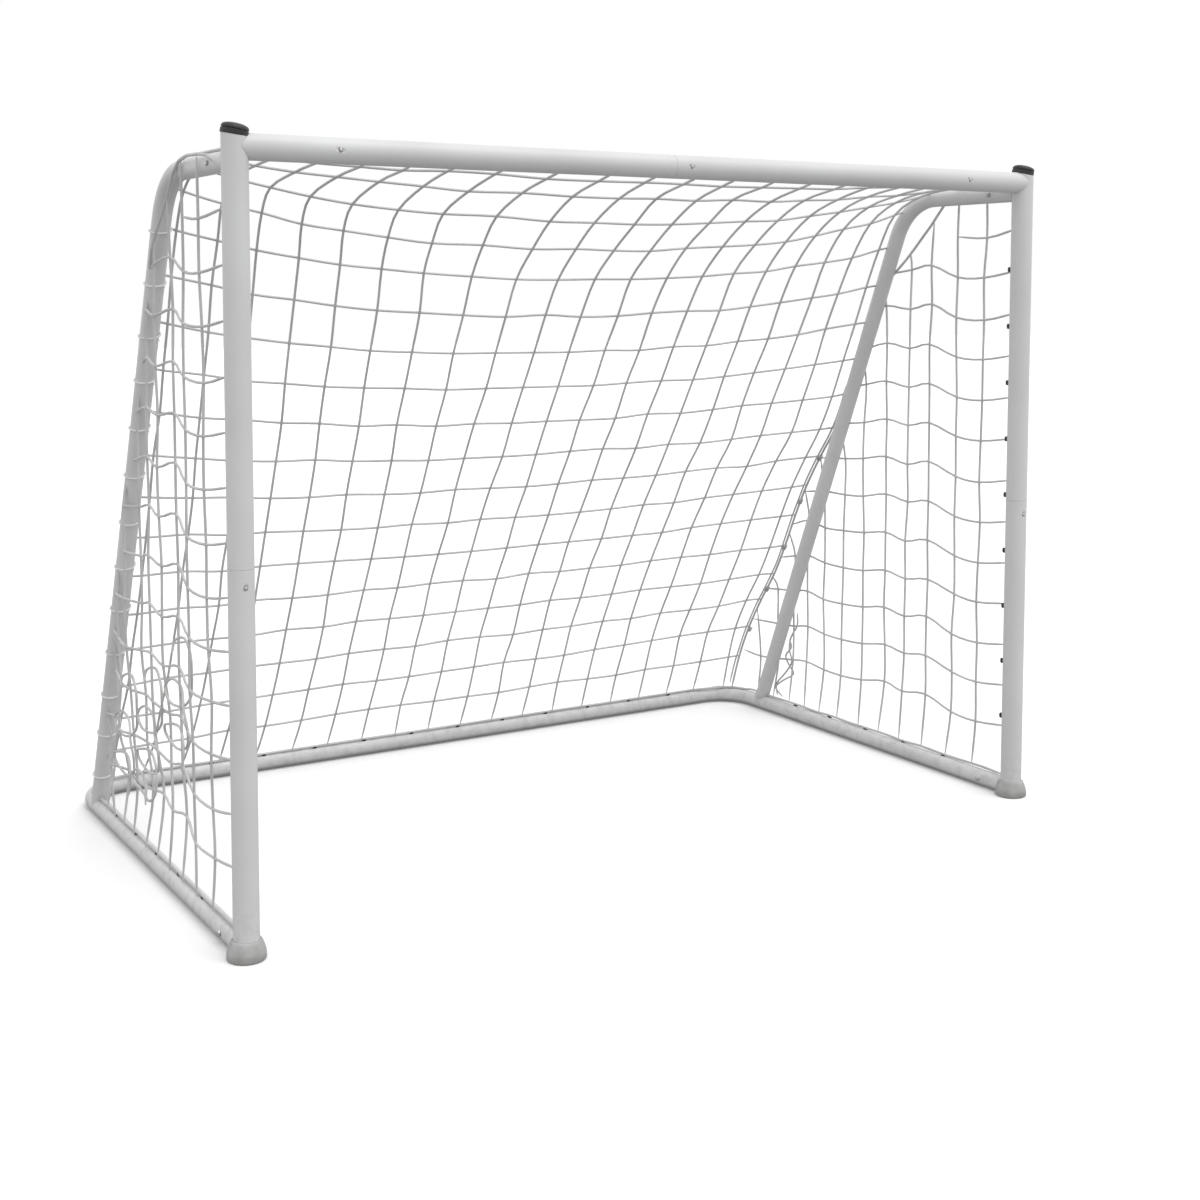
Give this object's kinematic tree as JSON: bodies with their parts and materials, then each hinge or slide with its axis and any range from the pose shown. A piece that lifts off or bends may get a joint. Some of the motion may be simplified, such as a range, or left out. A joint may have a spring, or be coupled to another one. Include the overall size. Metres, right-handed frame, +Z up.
{
  "type": "soccer goal",
  "caption": "Free-standing soccer goal: white tube posts, crossbar, sloping braces and ground frame that plug together with snap buttons, with a net.",
  "frame": {"origin": "on the ground at the middle of the footprint", "axes": "+X along the crossbar towards the right post as seen from the mouth, +Y from the mouth to the back, +Z up"},
  "size_m": [2.47, 1.472, 1.873],
  "materials": {
    "white_paint": "satin powder coat",
    "black_plastic": "fine moulded texture",
    "grey_rubber": "matt",
    "zinc_steel": "zinc plated",
    "spring_steel": "blued spring steel",
    "net_cord": "braided cord"
  },
  "bodies": {
    "frame": {"left_post_lower": "white_paint", "left_post_upper": "white_paint", "left_post_cap": "black_plastic", "left_foot": "grey_rubber", "right_post_lower": "white_paint", "right_post_upper": "white_paint", "right_post_cap": "black_plastic", "right_foot": "grey_rubber", "crossbar_left": "white_paint", "crossbar_right": "white_paint", "left_top_bar": "white_paint", "left_brace": "white_paint", "left_ground_bar": "white_paint", "right_top_bar": "white_paint", "right_brace": "white_paint", "right_ground_bar": "white_paint", "rear_bar_left": "white_paint", "rear_bar_right": "white_paint", "left_top_bar_bolt": "zinc_steel", "left_top_bar_nut": "zinc_steel", "left_ground_bar_bolt": "zinc_steel", "left_ground_bar_nut": "zinc_steel", "right_top_bar_bolt": "zinc_steel", "right_top_bar_nut": "zinc_steel", "right_ground_bar_bolt": "zinc_steel", "right_ground_bar_nut": "zinc_steel", "net_back": "net_cord", "net_roof": "net_cord", "net_left": "net_cord", "net_right": "net_cord", "left_post_spring": "spring_steel", "left_crossbar_spring": "spring_steel", "right_post_spring": "spring_steel", "right_crossbar_spring": "spring_steel", "crossbar_middle_spring": "spring_steel", "left_brace_spring": "spring_steel", "left_brace_foot_spring": "spring_steel", "left_rear_spring": "spring_steel", "right_brace_spring": "spring_steel", "right_brace_foot_spring": "spring_steel", "right_rear_spring": "spring_steel", "rear_middle_spring": "spring_steel"},
    "left_post_button": {"left_post_button": "zinc_steel"},
    "left_crossbar_button": {"left_crossbar_button": "zinc_steel"},
    "right_post_button": {"right_post_button": "zinc_steel"},
    "right_crossbar_button": {"right_crossbar_button": "zinc_steel"},
    "crossbar_middle_button": {"crossbar_middle_button": "zinc_steel"},
    "left_brace_button": {"left_brace_button": "zinc_steel"},
    "left_brace_foot_button": {"left_brace_foot_button": "zinc_steel"},
    "left_rear_button": {"left_rear_button": "zinc_steel"},
    "right_brace_button": {"right_brace_button": "zinc_steel"},
    "right_brace_foot_button": {"right_brace_foot_button": "zinc_steel"},
    "right_rear_button": {"right_rear_button": "zinc_steel"},
    "rear_middle_button": {"rear_middle_button": "zinc_steel"}
  },
  "joints": [
    {"name": "left_post_button_press", "type": "slide", "parent": "frame", "child": "left_post_button", "axis": [0, 1, 0], "range_m": [0, 0.0055], "stiffness_N_per_m": 600, "springref_m": -0.004, "deforming": ["left_post_spring"]},
    {"name": "left_crossbar_button_press", "type": "slide", "parent": "frame", "child": "left_crossbar_button", "axis": [0, 1, 0], "range_m": [0, 0.0055], "stiffness_N_per_m": 600, "springref_m": -0.004, "deforming": ["left_crossbar_spring"]},
    {"name": "right_post_button_press", "type": "slide", "parent": "frame", "child": "right_post_button", "axis": [0, 1, 0], "range_m": [0, 0.0055], "stiffness_N_per_m": 600, "springref_m": -0.004, "deforming": ["right_post_spring"]},
    {"name": "right_crossbar_button_press", "type": "slide", "parent": "frame", "child": "right_crossbar_button", "axis": [0, 1, 0], "range_m": [0, 0.0055], "stiffness_N_per_m": 600, "springref_m": -0.004, "deforming": ["right_crossbar_spring"]},
    {"name": "crossbar_middle_button_press", "type": "slide", "parent": "frame", "child": "crossbar_middle_button", "axis": [0, 1, 0], "range_m": [0, 0.0055], "stiffness_N_per_m": 600, "springref_m": -0.004, "deforming": ["crossbar_middle_spring"]},
    {"name": "left_brace_button_press", "type": "slide", "parent": "frame", "child": "left_brace_button", "axis": [0, -0.9221, -0.3869], "range_m": [0, 0.0055], "stiffness_N_per_m": 600, "springref_m": -0.004, "deforming": ["left_brace_spring"]},
    {"name": "left_brace_foot_button_press", "type": "slide", "parent": "frame", "child": "left_brace_foot_button", "axis": [0, -0.9221, -0.3869], "range_m": [0, 0.0055], "stiffness_N_per_m": 600, "springref_m": -0.004, "deforming": ["left_brace_foot_spring"]},
    {"name": "left_rear_button_press", "type": "slide", "parent": "frame", "child": "left_rear_button", "axis": [0, -1, 0], "range_m": [0, 0.0055], "stiffness_N_per_m": 600, "springref_m": -0.004, "deforming": ["left_rear_spring"]},
    {"name": "right_brace_button_press", "type": "slide", "parent": "frame", "child": "right_brace_button", "axis": [0, -0.9221, -0.3869], "range_m": [0, 0.0055], "stiffness_N_per_m": 600, "springref_m": -0.004, "deforming": ["right_brace_spring"]},
    {"name": "right_brace_foot_button_press", "type": "slide", "parent": "frame", "child": "right_brace_foot_button", "axis": [0, -0.9221, -0.3869], "range_m": [0, 0.0055], "stiffness_N_per_m": 600, "springref_m": -0.004, "deforming": ["right_brace_foot_spring"]},
    {"name": "right_rear_button_press", "type": "slide", "parent": "frame", "child": "right_rear_button", "axis": [0, -1, 0], "range_m": [0, 0.0055], "stiffness_N_per_m": 600, "springref_m": -0.004, "deforming": ["right_rear_spring"]},
    {"name": "rear_middle_button_press", "type": "slide", "parent": "frame", "child": "rear_middle_button", "axis": [0, -1, 0], "range_m": [0, 0.0055], "stiffness_N_per_m": 600, "springref_m": -0.004, "deforming": ["rear_middle_spring"]}
  ]
}
